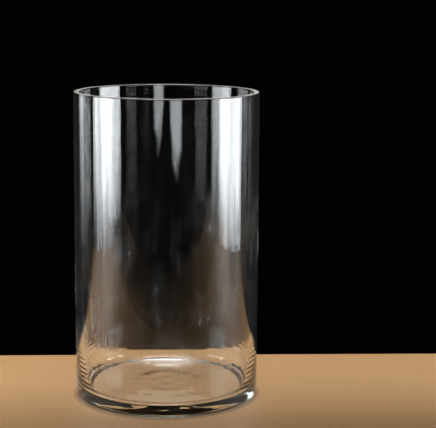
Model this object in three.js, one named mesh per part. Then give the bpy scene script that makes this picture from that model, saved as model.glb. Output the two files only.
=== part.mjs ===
// A clear glass cylinder vase. Millimetres, +Z up, standing on the plane z = 0, axis on Z.
//
// The real vase is one continuous body of glass. It is modelled as the four zones that the
// glass forms, from the floor up, each meeting the next on a shared face:
//   base_disc      the thick round floor, pushed up slightly underneath
//   heel_ring      the corner that turns the floor into the wall, with the flat it stands on
//   cylinder_wall  the wall, straight outside and thickening towards the foot inside
//   rim_lip        the flat edge of the mouth, its two corners softened
import * as THREE from 'three';

// Driving dimensions
const OUTER_RADIUS = 75;
const HEIGHT = 250;
const WALL_THICKNESS = 4.2; // at the rim
const FOOT_THICKENING = 4.0; // what the wall gains by the floor
const THICKENING_HEIGHT = 28; // how far up that gain falls to about a third
const FLOOR_THICKNESS = 7.5;
const FLOOR_RADIUS = 60; // the flat of the inner floor
const HEEL_HEIGHT = 16; // where the corner zone ends and the wall begins
const HEEL_RADIUS = 3.3;
const MOUTH_EDGE_RADIUS = 0.8; // the softening of the mouth's two corners
const KICK_UP = 0.8;

// How finely the round shapes are faceted
const SEGMENTS_AROUND = 96;
const HEEL_STEPS = 5;
const FILLET_STEPS = 6;
const WALL_STEPS = 7;
const MOUTH_EDGE_STEPS = 3;
const KICK_UP_STEPS = 4;

// Sizes that follow from the driving dimensions
const MOUTH_RADIUS = OUTER_RADIUS - WALL_THICKNESS;
const WALL_TOP = HEIGHT - WALL_THICKNESS / 2;
const FILLET_RADIUS = wallInside(FLOOR_THICKNESS) - FLOOR_RADIUS;
const FILLET_TOP = FLOOR_THICKNESS + FILLET_RADIUS;

/** The clear, faintly green soda-lime glass, as a fresh material for each zone. */
function clearGlass() {
  return new THREE.MeshStandardMaterial({
    color: 0xe6efec,
    roughness: 0.04,
    metalness: 0,
    transparent: true,
    opacity: 0.3,
  });
}

/** The wall's inside radius at a height, the fillet left out. */
function wallInside(height) {
  const gain = FOOT_THICKENING * Math.exp((FLOOR_THICKNESS - height) / THICKENING_HEIGHT);
  return OUTER_RADIUS - WALL_THICKNESS - gain;
}

/** A point of the inner surface: on the wall, drawn in towards the floor by the fillet. */
function insidePoint(height) {
  const below = Math.max(FILLET_TOP - height, 0) / FILLET_RADIUS;
  const drawnIn = FILLET_RADIUS * (1 - Math.sqrt(1 - below * below));
  return new THREE.Vector2(wallInside(height) - drawnIn, height);
}

/** Points on a circular arc in the profile plane, x outward and y up, angles in degrees. */
function arc(centreX, centreY, radius, fromDegrees, toDegrees, steps) {
  const points = [];
  for (let step = 0; step <= steps; step += 1) {
    const degrees = fromDegrees + ((toDegrees - fromDegrees) * step) / steps;
    const angle = THREE.MathUtils.degToRad(degrees);
    const x = centreX + radius * Math.cos(angle);
    const y = centreY + radius * Math.sin(angle);
    points.push(new THREE.Vector2(x, y));
  }
  return points;
}

/** A named zone: its profile turned round the vase's axis and stood up along Z. */
function turnedZone(name, profile) {
  const geometry = new THREE.LatheGeometry(profile, SEGMENTS_AROUND);
  geometry.rotateX(Math.PI / 2);
  const zone = new THREE.Mesh(geometry, clearGlass());
  zone.name = name;
  return zone;
}

/** The floor: flat on top, and rising in a shallow dome of KICK_UP underneath. */
function baseDisc() {
  const profile = [];
  for (let step = 0; step <= KICK_UP_STEPS; step += 1) {
    const share = step / KICK_UP_STEPS;
    profile.push(new THREE.Vector2(FLOOR_RADIUS * share, KICK_UP * (1 - share * share)));
  }
  profile.push(new THREE.Vector2(FLOOR_RADIUS, FLOOR_THICKNESS));
  profile.push(new THREE.Vector2(0, FLOOR_THICKNESS));
  return turnedZone('base_disc', profile);
}

/** The corner: a flat standing ring, the rounded heel outside and the fillet inside. */
function heelRing() {
  const standingRadius = OUTER_RADIUS - HEEL_RADIUS;
  const start = new THREE.Vector2(FLOOR_RADIUS, 0);
  const heel = arc(standingRadius, HEEL_RADIUS, HEEL_RADIUS, -90, 0, HEEL_STEPS);
  const wallFoot = new THREE.Vector2(OUTER_RADIUS, HEEL_HEIGHT);
  const inside = [insidePoint(HEEL_HEIGHT)];
  for (let step = 0; step <= FILLET_STEPS; step += 1) {
    const turned = (Math.PI / 2) * (step / FILLET_STEPS);
    inside.push(insidePoint(FILLET_TOP - FILLET_RADIUS * Math.sin(turned)));
  }
  return turnedZone('heel_ring', [start, ...heel, wallFoot, ...inside, start.clone()]);
}

/** The wall, from the corner to the foot of the rim, its inside stepped finer lower down. */
function cylinderWall() {
  const inside = [];
  for (let step = WALL_STEPS; step >= 0; step -= 1) {
    const share = (step / WALL_STEPS) ** 2;
    inside.push(insidePoint(HEEL_HEIGHT + (WALL_TOP - HEEL_HEIGHT) * share));
  }
  const profile = [
    new THREE.Vector2(OUTER_RADIUS, HEEL_HEIGHT),
    new THREE.Vector2(OUTER_RADIUS, WALL_TOP),
    ...inside,
    new THREE.Vector2(OUTER_RADIUS, HEEL_HEIGHT),
  ];
  return turnedZone('cylinder_wall', profile);
}

/** The mouth's edge, flat across the top, with its outer and inner corners softened. */
function rimLip() {
  const radius = MOUTH_EDGE_RADIUS;
  const up = HEIGHT - radius;
  const foot = new THREE.Vector2(OUTER_RADIUS, WALL_TOP);
  const outerCorner = arc(OUTER_RADIUS - radius, up, radius, 0, 90, MOUTH_EDGE_STEPS);
  const innerCorner = arc(MOUTH_RADIUS + radius, up, radius, 90, 180, MOUTH_EDGE_STEPS);
  const innerFoot = new THREE.Vector2(MOUTH_RADIUS, WALL_TOP);
  return turnedZone('rim_lip', [foot, ...outerCorner, ...innerCorner, innerFoot, foot.clone()]);
}

const vase = new THREE.Group();
vase.name = 'cylinder_vase';
vase.add(baseDisc(), heelRing(), cylinderWall(), rimLip());

export default vase;
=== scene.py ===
"""A clear glass cylinder vase on a pale table top, in metres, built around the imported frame.

The vase is one body of glass, turned round Z from a single outline that starts and ends on the
axis: a thick floor, a rounded heel outside, a deep fillet inside, a straight wall and a flat mouth
with softened corners. Its faint chill rings, its uneven wall and the press mark under the floor are
real geometry. Water marks, scratches, specks and the finer ripples by the foot are in the finish.
"""

import logging
import math
from dataclasses import dataclass
from enum import Enum
from typing import Callable, Sequence

import bmesh
import bpy
from mathutils import Matrix, Vector


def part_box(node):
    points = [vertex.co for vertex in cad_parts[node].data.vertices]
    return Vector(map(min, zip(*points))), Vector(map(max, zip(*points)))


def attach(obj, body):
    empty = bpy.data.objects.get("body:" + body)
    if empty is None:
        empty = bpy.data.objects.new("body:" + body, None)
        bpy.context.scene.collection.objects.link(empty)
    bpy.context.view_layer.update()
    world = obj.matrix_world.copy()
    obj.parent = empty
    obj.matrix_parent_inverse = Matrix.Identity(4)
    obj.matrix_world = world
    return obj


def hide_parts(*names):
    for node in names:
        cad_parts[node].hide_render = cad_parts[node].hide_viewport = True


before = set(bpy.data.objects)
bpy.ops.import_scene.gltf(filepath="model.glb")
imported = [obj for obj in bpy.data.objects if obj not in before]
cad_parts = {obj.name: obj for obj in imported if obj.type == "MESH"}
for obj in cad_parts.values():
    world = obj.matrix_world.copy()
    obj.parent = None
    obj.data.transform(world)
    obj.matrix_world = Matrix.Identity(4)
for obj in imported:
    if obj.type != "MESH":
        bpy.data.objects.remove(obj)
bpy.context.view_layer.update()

logging.basicConfig(level=logging.INFO, format="%(message)s")
log = logging.getLogger("vase")

MM = 0.001

# The water film. Drifts and runs have a scale along each axis, in repeats to a metre, and an edge:
# the values of their noise where they start and where they are whole.
FILM_DRIFTS = (38.0, 38.0, 22.0)
FILM_DRIFT_EDGE = (0.465, 0.67)
FILM_RUNS = (260.0, 260.0, 9.0)
FILM_RUN_EDGE = (0.46, 0.78)
FILM_BETWEEN_RUNS = 0.4  # how thick it is between two runs
FILM_FADES_FROM = 0.35  # the share of its top height where it starts to thin out
FILM_FOOT = (12 * MM, 50 * MM)  # the heights where it starts and is whole

# The scratches: each slant's turn in radians and scale, and how the lines are thinned and broken.
SCRATCH_SLANTS = (((0.3, 0.85, 0.4), 60.0), ((1.1, 0.6, 2.2), 85.0))
SCRATCH_EDGE = (0.996, 1.0)
SCRATCH_BREAKS = 55.0
SCRATCH_BREAK_EDGE = (0.58, 0.68)

# The ripples: where they start and are whole towards a seam and above the heel.
RIPPLE_SEAM = (64 * MM, 74 * MM)
RIPPLE_HEEL = (6 * MM, 12 * MM)
RIPPLE_FADES_FROM = 0.5  # the share of their top height where they start to fade
WAVE_RADIANS = 20.0  # what a Wave texture's bands turn through in a metre, at a scale of 1


class Lamp(Enum):
    """The outlines that a soft light can have."""

    PANEL = "RECTANGLE"
    OVAL = "ELLIPSE"


# ---------------------------------------------------------------------------------------------
# Modelling helpers
# ---------------------------------------------------------------------------------------------


def deselect_everything() -> None:
    """Leave edit mode and deselect every object."""
    if bpy.context.mode != "OBJECT":
        bpy.ops.object.mode_set(mode="OBJECT")
    bpy.ops.object.select_all(action="DESELECT")


def start_piece(name: str) -> bpy.types.Object:
    """Rename the object that a primitive operator has just made.

    Args:
        name: The piece's name.

    Returns:
        The new object, active and selected.
    """
    piece = bpy.context.object
    piece.name = name
    piece.data.name = name
    return piece


def select_points(piece: bpy.types.Object, wanted: Callable[[Vector], bool]) -> None:
    """Select the vertices of a piece in edit mode by their place.

    Args:
        piece: The object in edit mode.
        wanted: Tells from a vertex's place whether it is selected.
    """
    bpy.ops.mesh.select_mode(type="VERT")
    bpy.ops.mesh.select_all(action="DESELECT")
    mesh = bmesh.from_edit_mesh(piece.data)
    for point in mesh.verts:
        point.select_set(wanted(point.co))
    mesh.select_flush_mode()
    bmesh.update_edit_mesh(piece.data)


def near(place: Vector, tolerance: float = 1e-6) -> Callable[[Vector], bool]:
    """Return a test for vertices that lie at one place."""
    return lambda point: (point - place).length < tolerance


def apply_modifiers(piece: bpy.types.Object) -> None:
    """Apply every modifier of a piece, in order.

    Args:
        piece: The object that carries the modifiers.
    """
    deselect_everything()
    bpy.context.view_layer.objects.active = piece
    piece.select_set(True)
    for modifier in list(piece.modifiers):
        bpy.ops.object.modifier_apply(modifier=modifier.name)


# ---------------------------------------------------------------------------------------------
# Shader helpers and the shared effects
# ---------------------------------------------------------------------------------------------


class NodeSheet:
    """A node tree being filled in, with short ways to add nodes and wires."""

    def __init__(self, tree: bpy.types.NodeTree) -> None:
        """Take the tree that the nodes go into."""
        self.tree = tree

    def add(self, kind: str, **settings: object) -> bpy.types.Node:
        """Add a node.

        Args:
            kind: The node type's identifier.
            **settings: Node properties, and input values as inputs={name or index: value}.

        Returns:
            The new node.
        """
        node = self.tree.nodes.new(kind)
        for key, value in dict(settings.pop("inputs", {})).items():
            node.inputs[key].default_value = value
        for key, value in settings.items():
            setattr(node, key, value)
        return node

    def wire(self, source: bpy.types.NodeSocket, target: bpy.types.NodeSocket) -> None:
        """Join an output to an input."""
        self.tree.links.new(source, target)

    def value_of(self, source: object, node: bpy.types.Node, index: int) -> None:
        """Set an input to a number, or wire it if the source is a socket.

        Args:
            source: The number or the socket.
            node: The node that it goes into.
            index: Which of the node's inputs takes it.
        """
        if isinstance(source, bpy.types.NodeSocket):
            self.wire(source, node.inputs[index])
        else:
            node.inputs[index].default_value = source

    def math(self, operation: str, first: object, second: object = 0.0) -> bpy.types.NodeSocket:
        """Work out one thing with a Math node.

        Args:
            operation: What the node does.
            first: A number or a socket.
            second: Another, where the operation takes two.

        Returns:
            The result.
        """
        node = self.add("ShaderNodeMath", operation=operation)
        self.value_of(first, node, 0)
        self.value_of(second, node, 1)
        return node.outputs[0]

    def ramp(self, source: bpy.types.NodeSocket, low: float, high: float) -> bpy.types.NodeSocket:
        """Make a smooth step.

        Args:
            source: What is measured.
            low: Where the step starts from 0.
            high: Where it reaches 1.

        Returns:
            The step, from 0 to 1.
        """
        node = self.add("ShaderNodeMapRange", interpolation_type="SMOOTHSTEP")
        self.wire(source, node.inputs["Value"])
        node.inputs["From Min"].default_value = low
        node.inputs["From Max"].default_value = high
        return node.outputs["Result"]

    def placed(self, scale: Sequence[float]) -> bpy.types.NodeSocket:
        """Stretch Object coordinates.

        Args:
            scale: What each axis is multiplied by.

        Returns:
            The stretched coordinates.
        """
        place = self.add("ShaderNodeTexCoord")
        mapping = self.add("ShaderNodeMapping")
        mapping.inputs["Scale"].default_value = scale
        self.wire(place.outputs["Object"], mapping.inputs["Vector"])
        return mapping.outputs["Vector"]

    def axes(self) -> bpy.types.NodeOutputs:
        """Return the outputs X, Y and Z of the Object coordinates."""
        place = self.add("ShaderNodeTexCoord")
        split = self.add("ShaderNodeSeparateXYZ")
        self.wire(place.outputs["Object"], split.inputs[0])
        return split.outputs


def new_effect(name: str, inputs: dict[str, float], outputs: Sequence[str]) -> bpy.types.NodeTree:
    """Start a shader node group.

    Args:
        name: The group's name.
        inputs: The name and default value of each number that goes in.
        outputs: The name of each mask or height that comes out.

    Returns:
        The group, holding only its input and output nodes.
    """
    group = bpy.data.node_groups.new(name, "ShaderNodeTree")
    for label, value in inputs.items():
        socket = group.interface.new_socket(label, in_out="INPUT", socket_type="NodeSocketFloat")
        socket.default_value = value
    for label in outputs:
        group.interface.new_socket(label, in_out="OUTPUT", socket_type="NodeSocketFloat")
    group.nodes.new("NodeGroupInput")
    group.nodes.new("NodeGroupOutput")
    return group


def ends(group: bpy.types.NodeTree) -> tuple[bpy.types.Node, bpy.types.Node]:
    """Return a group's input node and output node."""
    return group.nodes["Group Input"], group.nodes["Group Output"]


def water_marks() -> bpy.types.NodeTree:
    """Build the dried film of hard water: soft drifts low on the wall, with streaks running down.

    Returns:
        The group, with inputs Amount and Top (the height it fades out at) and output Film.
    """
    group = new_effect("water_marks", {"Amount": 0.9, "Top": 240 * MM}, ["Film"])
    sheet = NodeSheet(group)
    entry, leave = ends(group)
    drift = sheet.add("ShaderNodeTexNoise", inputs={"Scale": 1.0, "Detail": 5.0, "Roughness": 0.62})
    sheet.wire(sheet.placed(FILM_DRIFTS), drift.inputs["Vector"])
    streak = sheet.add("ShaderNodeTexNoise", inputs={"Scale": 1.0, "Detail": 3.0})
    sheet.wire(sheet.placed(FILM_RUNS), streak.inputs["Vector"])
    patches = sheet.ramp(drift.outputs["Fac"], *FILM_DRIFT_EDGE)
    runs = sheet.ramp(streak.outputs["Fac"], *FILM_RUN_EDGE)
    up = sheet.axes()["Z"]
    height = sheet.math("DIVIDE", up, entry.outputs["Top"])
    low_down = sheet.math("SUBTRACT", 1.0, sheet.ramp(height, FILM_FADES_FROM, 1.0))
    off_foot = sheet.ramp(up, *FILM_FOOT)
    film = sheet.math("MULTIPLY", patches, sheet.math("ADD", FILM_BETWEEN_RUNS, runs))
    film = sheet.math("MULTIPLY", film, sheet.math("MULTIPLY", low_down, off_foot))
    film = sheet.math("MULTIPLY", film, entry.outputs["Amount"])
    sheet.wire(film, leave.inputs["Film"])
    return group


def fine_scratches() -> bpy.types.NodeTree:
    """Build the hair scratches of handling: thin lines at several slants, broken into lengths.

    Returns:
        The group, with input Amount and output Scratch.
    """
    group = new_effect("fine_scratches", {"Amount": 0.22}, ["Scratch"])
    sheet = NodeSheet(group)
    entry, leave = ends(group)
    total = None
    for turn, spacing in SCRATCH_SLANTS:
        place = sheet.add("ShaderNodeTexCoord")
        mapping = sheet.add("ShaderNodeMapping")
        mapping.inputs["Rotation"].default_value = turn
        sheet.wire(place.outputs["Object"], mapping.inputs["Vector"])
        lines = sheet.add(
            "ShaderNodeTexWave", inputs={"Scale": spacing, "Distortion": 3.5, "Detail Scale": 0.8}
        )
        sheet.wire(mapping.outputs["Vector"], lines.inputs["Vector"])
        breaks = sheet.add("ShaderNodeTexNoise", inputs={"Scale": SCRATCH_BREAKS, "Detail": 2.0})
        sheet.wire(mapping.outputs["Vector"], breaks.inputs["Vector"])
        hair = sheet.ramp(lines.outputs["Fac"], *SCRATCH_EDGE)
        broken = sheet.ramp(breaks.outputs["Fac"], *SCRATCH_BREAK_EDGE)
        scratch = sheet.math("MULTIPLY", hair, broken)
        total = scratch if total is None else sheet.math("MAXIMUM", total, scratch)
    sheet.wire(sheet.math("MULTIPLY", total, entry.outputs["Amount"]), leave.inputs["Scratch"])
    return group


def specks() -> bpy.types.NodeTree:
    """Build scattered specks: dried droplets and tiny seeds, sparser as Rarity nears 1.

    Returns:
        The group, with inputs Spacing, Size and Rarity and output Dot.
    """
    inputs = {"Spacing": 6 * MM, "Size": 0.6 * MM, "Rarity": 0.9}
    group = new_effect("specks", inputs, ["Dot"])
    sheet = NodeSheet(group)
    entry, leave = ends(group)
    place = sheet.add("ShaderNodeTexCoord")
    cells = sheet.add("ShaderNodeTexVoronoi")
    sheet.wire(place.outputs["Object"], cells.inputs["Vector"])
    sheet.wire(sheet.math("DIVIDE", 1.0, entry.outputs["Spacing"]), cells.inputs["Scale"])
    reach = sheet.math("DIVIDE", entry.outputs["Size"], entry.outputs["Spacing"])
    inside = sheet.math("SUBTRACT", 1.0, sheet.math("DIVIDE", cells.outputs["Distance"], reach))
    dome = sheet.math("MAXIMUM", inside, 0.0)
    chance = sheet.add("ShaderNodeSeparateColor")
    sheet.wire(cells.outputs["Color"], chance.inputs[0])
    kept = sheet.math("GREATER_THAN", chance.outputs[0], entry.outputs["Rarity"])
    sheet.wire(sheet.math("MULTIPLY", dome, kept), leave.inputs["Dot"])
    return group


def chill_ripples() -> bpy.types.NodeTree:
    """Build the fine ripples of the lower wall beside the mould's two seams, at +X and -X.

    Returns:
        The group, with inputs Pitch and Top (the height it fades out at) and output Ripple.
    """
    group = new_effect("chill_ripples", {"Pitch": 4.1 * MM, "Top": 50 * MM}, ["Ripple"])
    sheet = NodeSheet(group)
    entry, leave = ends(group)
    place = sheet.add("ShaderNodeTexCoord")
    axes = sheet.axes()
    rings = sheet.add("ShaderNodeTexWave", inputs={"Distortion": 1.6, "Detail Scale": 0.5})
    rings.bands_direction = "Z"
    sheet.wire(place.outputs["Object"], rings.inputs["Vector"])
    repeats = sheet.math("DIVIDE", math.tau / WAVE_RADIANS, entry.outputs["Pitch"])
    sheet.wire(repeats, rings.inputs["Scale"])
    by_seam = sheet.ramp(sheet.math("ABSOLUTE", axes["X"]), *RIPPLE_SEAM)
    off_heel = sheet.ramp(axes["Z"], *RIPPLE_HEEL)
    height = sheet.math("DIVIDE", axes["Z"], entry.outputs["Top"])
    low_down = sheet.math("SUBTRACT", 1.0, sheet.ramp(height, RIPPLE_FADES_FROM, 1.0))
    ripple = sheet.math("MULTIPLY", rings.outputs["Fac"], by_seam)
    ripple = sheet.math("MULTIPLY", ripple, sheet.math("MULTIPLY", off_heel, low_down))
    sheet.wire(ripple, leave.inputs["Ripple"])
    return group


# ---------------------------------------------------------------------------------------------
# Finishes
# ---------------------------------------------------------------------------------------------


@dataclass(frozen=True)
class ClearGlassFinish:
    """Clear soda-lime glass that has been handled and has held water.

    Attributes:
        name: The material's name.
        colour: What the glass lets through at each surface.
        index: Its refractive index.
        depth_colour: The tint that a long way through the glass takes on.
        depth_strength: How strongly it takes that tint on, per metre.
        polish: The roughness of the clean surface.
        film_roughness: How much rougher the water film is.
        film_haze: How much light the water film and the specks scatter.
        scratch_roughness: How much rougher a scratch is.
        relief: The height of a speck, in metres.
        film_lift: How high the water film is, as a share of a speck's height.
        scratch_dip: How deep a scratch is, as a share of a speck's height.
        ripple_lift: How high the chill ripples are, in specks' heights.
    """

    name: str = "clear_glass"
    colour: tuple[float, float, float, float] = (0.985, 0.992, 0.99, 1.0)
    index: float = 1.52
    depth_colour: tuple[float, float, float, float] = (0.72, 0.86, 0.84, 1.0)
    depth_strength: float = 4.0
    polish: float = 0.0
    film_roughness: float = 0.34
    film_haze: float = 1.0
    scratch_roughness: float = 0.3
    relief: float = 0.06 * MM
    film_lift: float = 0.05
    scratch_dip: float = 0.2
    ripple_lift: float = 1.8

    def material(self) -> bpy.types.Material:
        """Build the glass: one Principled shader, with its marks in roughness and bump.

        Returns:
            The material.
        """
        material = bpy.data.materials.new(self.name)
        material.use_nodes = True
        sheet = NodeSheet(material.node_tree)
        glass = material.node_tree.nodes["Principled BSDF"]
        glass.inputs["Base Color"].default_value = self.colour
        glass.inputs["IOR"].default_value = self.index
        glass.inputs["Transmission Weight"].default_value = 1.0
        film = sheet.add("ShaderNodeGroup", node_tree=water_marks())
        scratch = sheet.add("ShaderNodeGroup", node_tree=fine_scratches())
        dot = sheet.add("ShaderNodeGroup", node_tree=specks())
        film_part = sheet.math("MULTIPLY", film.outputs["Film"], self.film_roughness)
        scratch_part = sheet.math("MULTIPLY", scratch.outputs["Scratch"], self.scratch_roughness)
        rough = sheet.math("ADD", sheet.math("ADD", film_part, scratch_part), self.polish)
        sheet.wire(rough, glass.inputs["Roughness"])
        haze = sheet.math("ADD", film.outputs["Film"], dot.outputs["Dot"])
        haze = sheet.math("MULTIPLY", haze, self.film_haze)
        sheet.wire(haze, glass.inputs["Sheen Weight"])
        film_height = sheet.math("MULTIPLY", film.outputs["Film"], self.film_lift)
        lift = sheet.math("ADD", film_height, dot.outputs["Dot"])
        dip = sheet.math("MULTIPLY", scratch.outputs["Scratch"], self.scratch_dip)
        lift = sheet.math("SUBTRACT", lift, dip)
        ripples = sheet.add("ShaderNodeGroup", node_tree=chill_ripples())
        ripple_height = sheet.math("MULTIPLY", ripples.outputs["Ripple"], self.ripple_lift)
        lift = sheet.math("ADD", lift, ripple_height)
        bump = sheet.add("ShaderNodeBump", inputs={"Distance": self.relief, "Strength": 1.0})
        sheet.wire(lift, bump.inputs["Height"])
        sheet.wire(bump.outputs["Normal"], glass.inputs["Normal"])
        depth = sheet.add(
            "ShaderNodeVolumeAbsorption",
            inputs={"Color": self.depth_colour, "Density": self.depth_strength},
        )
        output = material.node_tree.nodes["Material Output"]
        sheet.wire(depth.outputs["Volume"], output.inputs["Volume"])
        return material


@dataclass(frozen=True)
class TableFinish:
    """A plain pale table top, with a soft shadow painted into its colour round where the vase
    stands.

    Attributes:
        name: The material's name.
        colour: The table's colour.
        roughness: How matt the surface is.
        gloss: How much it mirrors, as the shader's specular level.
        mottle: How far the colour wanders from place to place.
        mottle_scale: How often it wanders in a metre, along each axis.
        painted_shadow_radius: The radius that the painted shadow is darkest at.
        painted_shadow_width: How far the painted shadow spreads to each side.
        painted_shadow_strength: How dark the painted shadow gets, from 0 to 1.
    """

    name: str = "pale_table"
    colour: tuple[float, float, float, float] = (0.66, 0.385, 0.18, 1.0)
    roughness: float = 0.5
    gloss: float = 0.3
    mottle: float = 0.06
    mottle_scale: tuple[float, float, float] = (6.0, 14.0, 6.0)
    painted_shadow_radius: float = 73.5 * MM
    painted_shadow_width: float = 5.5 * MM
    painted_shadow_strength: float = 0.55

    def material(self) -> bpy.types.Material:
        """Build the table's matt finish, with the painted contact shadow in its colour.

        Returns:
            The material.
        """
        material = bpy.data.materials.new(self.name)
        material.use_nodes = True
        sheet = NodeSheet(material.node_tree)
        top = material.node_tree.nodes["Principled BSDF"]
        top.inputs["Roughness"].default_value = self.roughness
        top.inputs["Specular IOR Level"].default_value = self.gloss
        grain = sheet.add("ShaderNodeTexNoise", inputs={"Scale": 1.0, "Detail": 4.0})
        sheet.wire(sheet.placed(self.mottle_scale), grain.inputs["Vector"])
        # Painted contact shadow: the colour is darkened in a soft ring round the vase's foot, in
        # place of the shade the glass would cast.
        reach = sheet.add("ShaderNodeVectorMath", operation="LENGTH")
        sheet.wire(sheet.placed((1.0, 1.0, 0.0)), reach.inputs[0])
        off = sheet.math("SUBTRACT", reach.outputs["Value"], self.painted_shadow_radius)
        clear = sheet.ramp(sheet.math("ABSOLUTE", off), 0.0, self.painted_shadow_width)
        lit = sheet.math("MULTIPLY", clear, self.painted_shadow_strength)
        shade = sheet.math("ADD", lit, 1.0 - self.painted_shadow_strength)
        wander = sheet.math("MULTIPLY", grain.outputs["Fac"], 2 * self.mottle)
        tone = sheet.math("ADD", 1.0 - self.mottle, wander)
        tint = sheet.add("ShaderNodeVectorMath", operation="SCALE")
        tint.inputs[0].default_value = self.colour[:3]
        sheet.wire(sheet.math("MULTIPLY", tone, shade), tint.inputs["Scale"])
        sheet.wire(tint.outputs[0], top.inputs["Base Color"])
        return material


# ---------------------------------------------------------------------------------------------
# The vase
# ---------------------------------------------------------------------------------------------


@dataclass
class VaseGlass:
    """The vase's one body of glass. Sizes are in metres.

    Attributes:
        outer_radius: The wall's outside.
        height: From the table to the top of the rim.
        wall: The wall's thickness.
        floor_radius: The flat of the inner floor.
        floor_height: The top of the inner floor.
        heel_radius: The rounding at the foot, outside.
        mouth_edge_radius: The softening of the mouth's two corners.
        kick_up: How far the underside rises at its centre.
        foot_gain: How much thicker than at the rim the wall is by the floor.
        gain_height: How far up that gain falls to about a third.
        steps_around: How many steps the outline is turned in.
        heel_steps: How many edges the heel's rounding has.
        mouth_steps: How many edges each corner of the mouth has.
        fillet_steps: How many edges the fillet has.
        fillet_share: How much of its full radius it has, to keep off the points beside it.
        dome_steps: How many edges the underside's rise has.
        wall_cuts: How many edges the outside has above the rings.
        inside_cuts: How many edges the inside has.
        inside_crowding: How strongly those edges crowd towards the floor; 1 spaces them evenly.
        support: How far from a rounded corner the edges beside it are kept.
        ring_pitch: How far apart the chill rings are.
        ring_depth: How deep they are at the most.
        ring_start: How many pitches up the first one starts.
        ring_top: The height that they fade out at.
        ring_stations: How many edges each ring has.
        foot_top: The height up to which the outside has the rings' fine edges.
        press_rings: The radius, width and height of each ring of the press mark.
        press_radius: The radius that the unevenness of the press mark fades out at.
        press_lift: How uneven the press mark is.
        press_level: The value of its folds, from 0 to 1, that leaves the glass where it is.
        press_scale: The size of its folds.
        unevenness: How uneven the wall is.
        unevenness_scale: How far apart the wall's swells are.
    """

    outer_radius: float
    height: float
    wall: float
    floor_radius: float
    floor_height: float
    heel_radius: float = 3.3 * MM
    mouth_edge_radius: float = 0.8 * MM
    kick_up: float = 0.8 * MM
    foot_gain: float = 4.0 * MM
    gain_height: float = 28.0 * MM
    steps_around: int = 224
    heel_steps: int = 8
    mouth_steps: int = 5
    fillet_steps: int = 16
    fillet_share: float = 0.98
    dome_steps: int = 24
    wall_cuts: int = 36
    inside_cuts: int = 60
    inside_crowding: float = 1.5
    support: float = 0.15 * MM
    ring_pitch: float = 4.1 * MM
    ring_depth: float = 0.045 * MM
    ring_start: float = 1.5
    ring_top: float = 60 * MM
    ring_stations: int = 8
    foot_top: float = 62 * MM
    press_rings: tuple[tuple[float, float, float], ...] = (
        (9 * MM, 2.2 * MM, 0.12 * MM),
        (24 * MM, 5 * MM, 0.2 * MM),
    )
    press_radius: float = 46 * MM
    press_lift: float = 0.38 * MM
    press_level: float = 0.3
    press_scale: float = 13 * MM
    unevenness: float = 0.12 * MM
    unevenness_scale: float = 60 * MM

    @classmethod
    def from_frame(cls) -> "VaseGlass":
        """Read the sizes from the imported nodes' boxes.

        Returns:
            The vase, whose wall is twice as thick as the rim's node is high.
        """
        _, wall_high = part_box("cylinder_wall")
        rim_low, rim_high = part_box("rim_lip")
        _, floor_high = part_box("base_disc")
        return cls(
            outer_radius=wall_high.x,
            height=rim_high.z,
            wall=2 * (rim_high.z - rim_low.z),
            floor_radius=floor_high.x,
            floor_height=floor_high.z,
        )

    def inner_radius(self, height: float) -> float:
        """Return the wall's inside radius at a height, the fillet left out."""
        gain = self.foot_gain * math.exp((self.floor_height - height) / self.gain_height)
        return self.outer_radius - self.wall - gain

    @property
    def fillet(self) -> float:
        """The radius of the rounding between the inner floor and the wall."""
        return self.inner_radius(self.floor_height) - self.floor_radius

    def build(self) -> bpy.types.Object:
        """Model the glass and dress it.

        Returns:
            The finished piece.
        """
        piece = self._outline()
        self._round_corners(piece)
        self._turn()
        self._press_unevenly(piece)
        self._make_uneven(piece)
        piece.data.materials.clear()
        piece.data.materials.append(ClearGlassFinish().material())
        return piece

    def _outline(self) -> bpy.types.Object:
        """Draw the half outline, from the axis under the floor round to the axis above it.

        Returns:
            The piece, in edit mode, as one open chain of edges in the plane y = 0.
        """
        deselect_everything()
        bpy.ops.mesh.primitive_plane_add(size=self.wall, location=(0.0, 0.0, self.kick_up))
        piece = start_piece("vase_glass")
        bpy.ops.object.transform_apply(location=True, rotation=True, scale=True)
        bpy.ops.object.mode_set(mode="EDIT")
        bpy.ops.mesh.select_all(action="SELECT")
        bpy.ops.mesh.merge(type="CENTER")
        here = Vector((0.0, 0.0, self.kick_up))
        for there in self._stations():
            bpy.ops.mesh.extrude_region_move(TRANSFORM_OT_translate={"value": there - here})
            here = there
        return piece

    def _stations(self) -> list[Vector]:
        """List the outline's points after the first: underside, outside, mouth, inside.

        Returns:
            The points, in the plane y = 0.
        """
        stations = [*self._underside(), *self._outside(), *self._mouth(), *self._inside()]
        return [Vector((radius, 0.0, height)) for radius, height in stations]

    def _underside(self) -> list[tuple[float, float]]:
        """List the radius and height of the points under the floor, from the axis outwards.

        Returns:
            The points, up to the flat that the vase stands on.
        """
        points = []
        for step in range(1, self.dome_steps + 1):
            share = step / self.dome_steps
            rise = self.kick_up * (1 - share * share) + self._press_mark(share * self.floor_radius)
            points.append((self.floor_radius * share, max(rise, 0.0)))
        points.append((self.outer_radius - self.heel_radius - self.support, 0.0))
        return points

    def _outside(self) -> list[tuple[float, float]]:
        """List the radius and height of the points outside, from the heel's corner upwards.

        Returns:
            The points, up to just under the mouth.
        """
        points = [(self.outer_radius, 0.0)]
        low = self.heel_radius + self.ring_pitch / self.ring_stations
        steps = round((self.foot_top - low) / self.ring_pitch * self.ring_stations)
        for step in range(steps + 1):
            height = low + (self.foot_top - low) * step / steps
            points.append((self.outer_radius - self._ring_dip(height), height))
        for step in range(1, self.wall_cuts):
            height = self.foot_top + (self.height - self.foot_top) * step / self.wall_cuts
            points.append((self.outer_radius, height))
        return points

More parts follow.
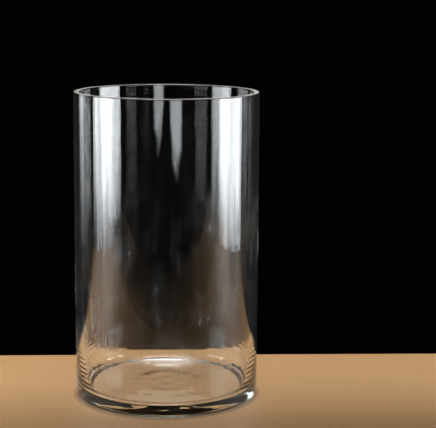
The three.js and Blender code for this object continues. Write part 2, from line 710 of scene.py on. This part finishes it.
    def _mouth(self) -> list[tuple[float, float]]:
        """List the radius and height of the points round the mouth, from outside to inside.

        Returns:
            Its two corners, each with a point on both sides of it.
        """
        inside = self.outer_radius - self.wall
        edge = self.mouth_edge_radius + self.support
        return [
            (self.outer_radius, self.height - edge),
            (self.outer_radius, self.height),
            (self.outer_radius - edge, self.height),
            (inside + edge, self.height),
            (inside, self.height),
            (inside, self.height - edge),
        ]

    def _inside(self) -> list[tuple[float, float]]:
        """List the radius and height of the points inside, down the wall and in to the axis.

        Returns:
            The points, with the corner that becomes the fillet.
        """
        points = []
        low = self.floor_height + self.fillet
        for step in range(self.inside_cuts, -1, -1):
            share = (step / self.inside_cuts) ** self.inside_crowding
            height = low + (self.height - self.wall - low) * share
            points.append((self.inner_radius(height), height))
        points.append((self.inner_radius(self.floor_height), self.floor_height))
        points.append((self.floor_radius - self.support, self.floor_height))
        points.append((self.floor_radius / 2, self.floor_height))
        points.append((0.0, self.floor_height))
        return points

    def _press_mark(self, radius: float) -> float:
        """Work out the press mark that the mould leaves under the floor, in low rings.

        Args:
            radius: The distance from the axis.

        Returns:
            How high the underside rises there.
        """
        rise = 0.0
        for middle, width, height in self.press_rings:
            rise += height * math.exp(-(((radius - middle) / width) ** 2))
        return rise

    def _round_corners(self, piece: bpy.types.Object) -> None:
        """Bevel the outline's four corners into the heel, the mouth and the fillet.

        Args:
            piece: The outline, in edit mode.
        """
        outer, inner = self.outer_radius, self.outer_radius - self.wall
        mouth = self.mouth_edge_radius
        by_floor = self.inner_radius(self.floor_height)
        fillet = self.fillet * self.fillet_share
        corners = (
            (outer, 0.0, self.heel_radius, self.heel_steps),
            (outer, self.height, mouth, self.mouth_steps),
            (inner, self.height, mouth, self.mouth_steps),
            (by_floor, self.floor_height, fillet, self.fillet_steps),
        )
        for across, up, radius, steps in corners:
            select_points(piece, near(Vector((across, 0.0, up))))
            bpy.ops.mesh.bevel(offset=radius, segments=steps, affect="VERTICES", profile=0.5)

    def _ring_dip(self, height: float) -> float:
        """Work out how deep the chill rings press into the outside, fading upwards.

        Args:
            height: The height above the table.

        Returns:
            The depth there.
        """
        fade_in = min(max(height / self.ring_pitch - self.ring_start, 0.0), 1.0)
        fade_out = max(1 - height / self.ring_top, 0.0)
        wave = 0.5 - 0.5 * math.cos(math.tau * height / self.ring_pitch)
        return self.ring_depth * fade_in * fade_out * wave

    def _turn(self) -> None:
        """Turn the outline, which is in edit mode, a full circle and close it."""
        bpy.ops.mesh.select_all(action="SELECT")
        bpy.ops.mesh.spin(
            steps=self.steps_around, angle=math.tau, center=(0.0, 0.0, 0.0), axis=(0.0, 0.0, 1.0)
        )
        bpy.ops.mesh.select_all(action="SELECT")
        bpy.ops.mesh.remove_doubles(threshold=0.005 * MM)
        bpy.ops.mesh.select_all(action="SELECT")
        bpy.ops.mesh.normals_make_consistent(inside=False)
        bpy.ops.object.mode_set(mode="OBJECT")
        bpy.ops.object.shade_smooth()

    def _press_unevenly(self, piece: bpy.types.Object) -> None:
        """Make the press mark under the floor irregular, as the mould leaves it.

        Args:
            piece: The turned glass, in object mode.
        """
        group = piece.vertex_groups.new(name="underside")
        for point in piece.data.vertices:
            radius = point.co.xy.length
            if point.co.z < self.floor_height / 2 and radius < self.press_radius:
                group.add([point.index], 1 - (radius / self.press_radius) ** 2, "REPLACE")
        folds = bpy.data.textures.new("press_folds", "CLOUDS")
        folds.noise_scale = self.press_scale
        folds.noise_depth = 2
        press = piece.modifiers.new("press_folds", "DISPLACE")
        press.texture = folds
        press.texture_coords = "LOCAL"
        press.vertex_group = group.name
        press.direction = "Z"
        press.mid_level = self.press_level
        press.strength = self.press_lift
        apply_modifiers(piece)

    def _make_uneven(self, piece: bpy.types.Object) -> None:
        """Give the glass the slight unevenness of moulded ware.

        Args:
            piece: The turned glass, in object mode.
        """
        unevenness = bpy.data.textures.new("wall_unevenness", "CLOUDS")
        unevenness.noise_scale = self.unevenness_scale
        unevenness.noise_depth = 1
        wander = piece.modifiers.new("unevenness", "DISPLACE")
        wander.texture = unevenness
        wander.texture_coords = "LOCAL"
        wander.direction = "NORMAL"
        wander.mid_level = 0.5
        wander.strength = self.unevenness
        apply_modifiers(piece)


# ---------------------------------------------------------------------------------------------
# The stage: table, lights and camera
# ---------------------------------------------------------------------------------------------


@dataclass
class TableTop:
    """The pale slab that the vase stands on, in metres.

    Attributes:
        half_width: How far it runs to each side of the vase's axis.
        front: Where its near edge is.
        back: Where its far edge is.
        thickness: How thick it is.
        edge: The rounding of its edges.
        gap: How far its top is under the vase.
    """

    half_width: float = 0.7
    front: float = -0.345
    back: float = 0.113
    thickness: float = 0.03
    edge: float = 2 * MM
    gap: float = 0.3 * MM

    def build(self) -> bpy.types.Object:
        """Model the slab with softened edges and dress it.

        Returns:
            The slab.
        """
        deselect_everything()
        middle = Vector((0.0, (self.front + self.back) / 2, -self.thickness / 2 - self.gap))
        bpy.ops.mesh.primitive_cube_add(size=1.0, location=middle)
        slab = start_piece("table_top")
        slab.scale = (2 * self.half_width, self.back - self.front, self.thickness)
        bpy.ops.object.transform_apply(location=True, rotation=True, scale=True)
        bpy.ops.object.mode_set(mode="EDIT")
        bpy.ops.mesh.select_all(action="SELECT")
        bpy.ops.mesh.bevel(offset=self.edge, segments=3)
        bpy.ops.object.mode_set(mode="OBJECT")
        slab.data.materials.append(TableFinish().material())
        return slab


def in_reflection(sheet: NodeSheet) -> bpy.types.NodeSocket:
    """Tell apart the ways that a source is seen.

    The last leg of a path, the one that reaches the source, counts as a bounce of its own.

    Args:
        sheet: The node tree of a light or of the world.

    Returns:
        1 where the source is seen by way of a reflection, 0 if straight or through glass.
    """
    more_than_own_leg = 1.5
    path = sheet.add("ShaderNodeLightPath")
    turns = sheet.math("SUBTRACT", path.outputs["Ray Depth"], path.outputs["Transmission Depth"])
    return sheet.math("GREATER_THAN", turns, more_than_own_leg)


@dataclass(kw_only=True)
class SoftLight:
    """A soft area light. Unless it lights the table, it is seen only in reflections.

    Attributes:
        name: The light's name.
        width: Its width.
        height: Its height, or how far it reaches from front to back if it hangs overhead.
        glow: Its brightness, in watts per square metre and steradian.
        outline: Its outline.
        colour: Its colour.
        lights_table: Whether it also lights the table.
        fade: How much of its height, from the bottom, fades out, from 0 to 1.
        feather: How much of its width, from each side, fades out, from 0 to 0.5.
        grain: How many streaks it is mottled by across its width and over its height.
        lean: How much of its brightness is lost from one side to the other.
        spread: The angle that its beam is kept to, in degrees.
    """

    name: str
    width: float
    height: float
    glow: float
    outline: Lamp = Lamp.PANEL
    colour: tuple[float, float, float] = (0.93, 0.965, 1.0)
    lights_table: bool = False
    fade: float = 0.0
    feather: float = 0.0
    grain: tuple[float, float] = (16.0, 2.5)
    lean: float = 0.0
    spread: float = 180.0

    def make(self, place: Vector, turn: Matrix) -> bpy.types.Object:
        """Make the light.

        Args:
            place: Where its middle is.
            turn: How it is turned, as a rotation matrix.

        Returns:
            The light.
        """
        data = bpy.data.lights.new(self.name, "AREA")
        data.shape = self.outline.value
        data.size = self.width
        data.size_y = self.height
        data.energy = self.glow * math.pi * self.width * self.height
        data.color = self.colour
        data.spread = math.radians(self.spread)
        if not self.lights_table:
            data.use_nodes = True
            sheet = NodeSheet(data.node_tree)
            strength = sheet.math("MULTIPLY", in_reflection(sheet), self._soft_face(sheet))
            sheet.wire(strength, data.node_tree.nodes["Emission"].inputs["Strength"])
        lamp = bpy.data.objects.new(self.name, data)
        lamp.matrix_world = Matrix.Translation(place) @ turn
        bpy.context.collection.objects.link(lamp)
        lamp.visible_camera = False
        lamp.visible_diffuse = self.lights_table
        return lamp

    def _soft_face(self, sheet: NodeSheet) -> bpy.types.NodeSocket:
        """Work out how bright the light is over its face, which is ragged at its foot and sides.

        Args:
            sheet: The light's node tree.

        Returns:
            The brightness, from 0 to 1.
        """
        face = sheet.add("ShaderNodeNewGeometry")
        split = sheet.add("ShaderNodeSeparateXYZ")
        sheet.wire(face.outputs["Parametric"], split.inputs[0])
        stretch = sheet.add("ShaderNodeMapping")
        stretch.inputs["Scale"].default_value = (*self.grain, 1.0)
        sheet.wire(face.outputs["Parametric"], stretch.inputs["Vector"])
        streak = {"Scale": 1.0, "Detail": 5.0, "Roughness": 0.62}
        streaks = sheet.add("ShaderNodeTexNoise", inputs=streak)
        sheet.wire(stretch.outputs["Vector"], streaks.inputs["Vector"])
        off_mean = sheet.math("SUBTRACT", streaks.outputs["Fac"], 0.5)
        wander = sheet.math("MULTIPLY", off_mean, 2.0)
        dimmed = sheet.math("MULTIPLY", split.outputs["X"], self.lean)
        bright = sheet.math("SUBTRACT", 1.0, dimmed)
        if self.fade:
            rag = sheet.math("MULTIPLY", wander, self.fade)
            climb = sheet.math("ADD", split.outputs["Y"], rag)
            bright = sheet.math("MULTIPLY", bright, sheet.ramp(climb, 0.0, self.fade))
        if self.feather:
            from_middle = self._from_middle(sheet, split)
            inward = sheet.math("SUBTRACT", 0.5, from_middle)
            rag = sheet.math("MULTIPLY", wander, self.feather)
            edge = sheet.ramp(sheet.math("ADD", inward, rag), 0.0, self.feather)
            bright = sheet.math("MULTIPLY", bright, edge)
        return bright

    def _from_middle(self, sheet: NodeSheet, split: bpy.types.Node) -> bpy.types.NodeSocket:
        """Measure how far a point of the face is from its middle, as a share of its size.

        Args:
            sheet: The light's node tree.
            split: The node whose outputs X and Y run from 0 to 1 over the face.

        Returns:
            The distance sideways, or for an oval the distance any way.
        """
        across = sheet.math("ABSOLUTE", sheet.math("SUBTRACT", split.outputs["X"], 0.5))
        if self.outline is not Lamp.OVAL:
            return across
        along = sheet.math("SUBTRACT", split.outputs["Y"], 0.5)
        squares = sheet.math("MULTIPLY", along, along)
        squares = sheet.math("ADD", squares, sheet.math("MULTIPLY", across, across))
        return sheet.math("SQRT", squares)


@dataclass(kw_only=True)
class StandingLight(SoftLight):
    """A light that stands upright round the vase and faces its axis.

    Attributes:
        azimuth: Where it stands, in degrees round from the front towards +X.
        distance: How far its middle is from the vase's axis.
        bottom: The height of its lower edge.
    """

    azimuth: float
    distance: float
    bottom: float

    def build(self) -> bpy.types.Object:
        """Place the light and make it.

        Returns:
            The light.
        """
        turn = math.radians(self.azimuth)
        outward = Vector((math.sin(turn) * self.distance, -math.cos(turn) * self.distance, 0.0))
        place = outward + Vector((0.0, 0.0, self.bottom + self.height / 2))
        return self.make(place, outward.to_track_quat("Z", "Y").to_matrix().to_4x4())


@dataclass(kw_only=True)
class OverheadLight(SoftLight):
    """A light that hangs over the table and looks straight down.

    Attributes:
        place: Where its middle is.
        colour: Its colour.
        lights_table: Whether it also lights the table.
    """

    place: tuple[float, float, float]
    colour: tuple[float, float, float] = (1.0, 1.0, 1.0)
    lights_table: bool = True

    def build(self) -> bpy.types.Object:
        """Make the light, facing down."""
        return self.make(Vector(self.place), Matrix.Identity(4))


@dataclass
class StudioCamera:
    """A long lens a little above the vase, looking slightly down and past its side.

    Attributes:
        distance: How far it stands in front of the vase's axis.
        height: How high it is above the table.
        turn: How far it is turned towards +X, in degrees.
        dip: How far it looks down, in degrees.
        roll: How far it is rolled anticlockwise, in degrees.
        lens: Its focal length, in millimetres.
        sensor: The width of its sensor, in millimetres.
    """

    distance: float = 1.1035
    height: float = 0.3408
    turn: float = 2.18
    dip: float = 9.817
    roll: float = 0.374
    lens: float = 113.05
    sensor: float = 36.0

    def build(self) -> bpy.types.Object:
        """Make the camera and set it as the scene's.

        Returns:
            The camera.
        """
        data = bpy.data.cameras.new("studio_camera")
        data.lens = self.lens
        data.sensor_width = self.sensor
        camera = bpy.data.objects.new("studio_camera", data)
        turned = Matrix.Rotation(-math.radians(self.turn), 4, "Z")
        dipped = Matrix.Rotation(math.radians(90.0 - self.dip), 4, "X")
        rolled = Matrix.Rotation(math.radians(self.roll), 4, "Z")
        place = Matrix.Translation((0.0, -self.distance, self.height))
        camera.matrix_world = place @ turned @ dipped @ rolled
        bpy.context.collection.objects.link(camera)
        bpy.context.scene.camera = camera
        return camera


@dataclass
class DarkRoom:
    """The room around the table: nearly black, and a little lighter where it mirrors.

    Attributes:
        seen: How bright it is, looked at directly or through the glass.
        mirrored: How much brighter it is in reflections.
        colour: Its colour.
    """

    seen: float = 0.0006
    mirrored: float = 0.015
    colour: tuple[float, float, float, float] = (0.9, 0.95, 1.0, 1.0)

    def build(self) -> bpy.types.World:
        """Make the room the scene's world, shown in plain colours.

        Returns:
            The world.
        """
        world = bpy.data.worlds.new("dark_room")
        world.use_nodes = True
        sheet = NodeSheet(world.node_tree)
        room = world.node_tree.nodes["Background"]
        room.inputs["Color"].default_value = self.colour
        glow = sheet.math("MULTIPLY", in_reflection(sheet), self.mirrored)
        sheet.wire(sheet.math("ADD", glow, self.seen), room.inputs["Strength"])
        bpy.context.scene.world = world
        bpy.context.scene.view_settings.view_transform = "Standard"
        return world


STUDIO_LIGHTS = (
    StandingLight(
        name="left_softbox",
        azimuth=-82.4,
        distance=0.98,
        bottom=-0.13,
        width=0.54,
        height=0.63,
        glow=8.6,
        fade=0.45,
        lean=0.45,
        grain=(6.0, 1.5),
    ),
    StandingLight(
        name="right_softbox",
        azimuth=85.3,
        distance=1.6,
        bottom=-0.3,
        width=0.99,
        height=0.8,
        glow=9.0,
        fade=0.4,
        grain=(6.0, 1.5),
    ),
    StandingLight(
        name="left_edge_strip",
        azimuth=-123.6,
        distance=0.787,
        bottom=-0.02,
        width=0.26,
        height=0.6,
        glow=3.2,
        fade=0.6,
        feather=0.4,
    ),
    StandingLight(
        name="right_edge_strip",
        azimuth=122.0,
        distance=0.787,
        bottom=0.0,
        width=0.42,
        height=0.6,
        glow=0.08,
        fade=0.6,
        feather=0.5,
    ),
    StandingLight(
        name="front_glint",
        azimuth=11.3,
        distance=1.0,
        bottom=0.05,
        width=0.3,
        height=0.24,
        glow=3.1,
        outline=Lamp.OVAL,
        feather=0.2,
        grain=(2.6, 8.0),
    ),
    StandingLight(
        name="mouth_backlight",
        azimuth=180.0,
        distance=0.5,
        bottom=0.265,
        width=0.33,
        height=0.09,
        glow=1.3,
        colour=(1.0, 0.93, 0.85),
        feather=0.3,
    ),
    OverheadLight(
        name="overhead_bar",
        place=(0.0, 0.07, 0.5),
        width=1.3,
        height=0.16,
        glow=1.6,
        spread=60.0,
    ),
    OverheadLight(
        name="left_table_light",
        place=(-0.5, -0.05, 0.5),
        width=0.4,
        height=0.4,
        glow=1.7,
        spread=70.0,
    ),
    OverheadLight(
        name="rim_softbox",
        place=(0.0, -0.55, 0.95),
        width=1.0,
        height=0.4,
        glow=2.0,
        lights_table=False,
    ),
)


def main() -> None:
    """Build the vase and its stage."""
    StudioCamera().build()
    DarkRoom().build()
    glass = VaseGlass.from_frame().build()
    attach(glass, "root")
    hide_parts("base_disc", "heel_ring", "cylinder_wall", "rim_lip")
    glass.visible_shadow = False  # the shadow would be an opaque one
    glass.visible_diffuse = False
    log.info("%s: %d faces", glass.name, len(glass.data.polygons))
    slab = TableTop().build()
    for light in STUDIO_LIGHTS:
        light.build()
    log.info("%d lights", len(STUDIO_LIGHTS))


if __name__ == "__main__":
    main()
